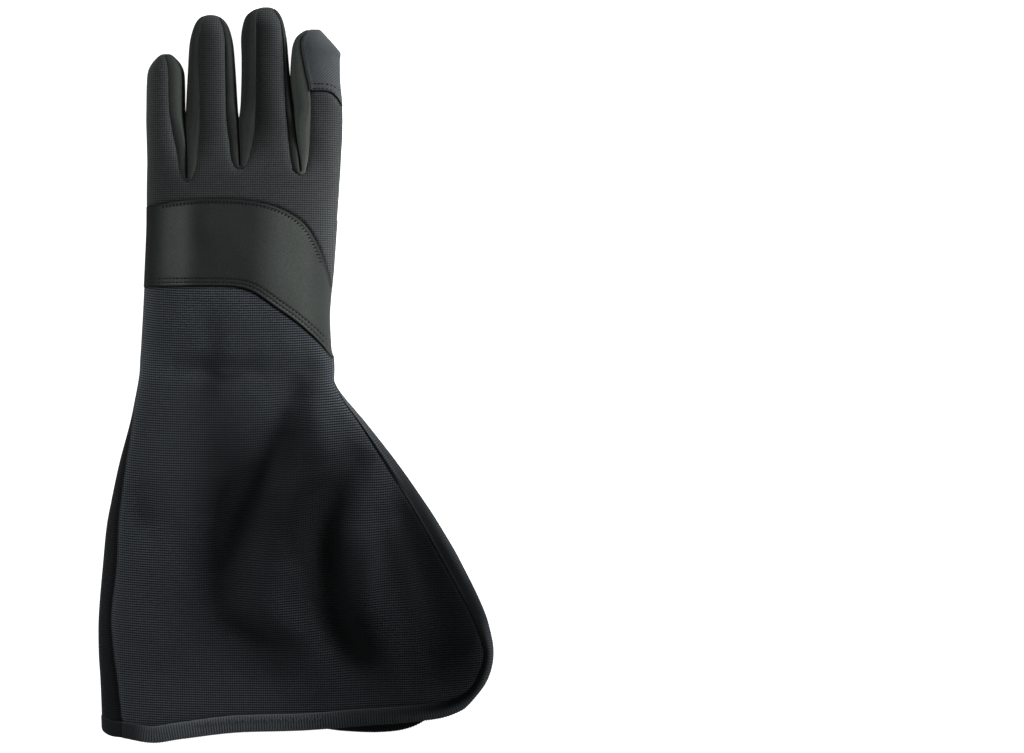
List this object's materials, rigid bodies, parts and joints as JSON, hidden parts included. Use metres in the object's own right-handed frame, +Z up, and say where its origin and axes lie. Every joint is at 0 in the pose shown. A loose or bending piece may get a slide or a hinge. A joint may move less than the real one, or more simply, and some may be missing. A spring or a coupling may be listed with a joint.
{
  "type": "gauntlet work glove",
  "caption": "Left-hand work glove with a knitted back, smooth knuckle band, side strips between the fingers, twill index fingertip and a long flared open cuff with ribbed binding.",
  "frame": {"origin": "middle of the underside, on the surface the glove lies on", "axes": "+X towards the thumb side, +Y towards the fingertips, +Z up out of the back of the hand"},
  "size_m": [0.237, 0.441, 0.0303],
  "materials": {
    "knit": "fine horizontal rib knit, matt black",
    "cuff_knit": "close horizontal rib knit, matt blue-black",
    "smooth_cloth": "smooth brushed stretch cloth, matt, slightly green-black",
    "twill": "dark grey diagonal twill",
    "ribbed_binding": "ribbed elastic binding, matt black"
  },
  "bodies": {
    "root": {"back_panel": "knit", "palm": "smooth_cloth", "index_cap": "twill", "fourchette_little_ring": "smooth_cloth", "fourchette_ring_middle": "smooth_cloth", "fourchette_middle_index": "smooth_cloth", "knuckle_band": "smooth_cloth", "cuff_back": "cuff_knit", "cuff_palm": "cuff_knit", "hem_back": "ribbed_binding", "hem_palm": "ribbed_binding", "thumb": "smooth_cloth"}
  },
  "joints": []
}
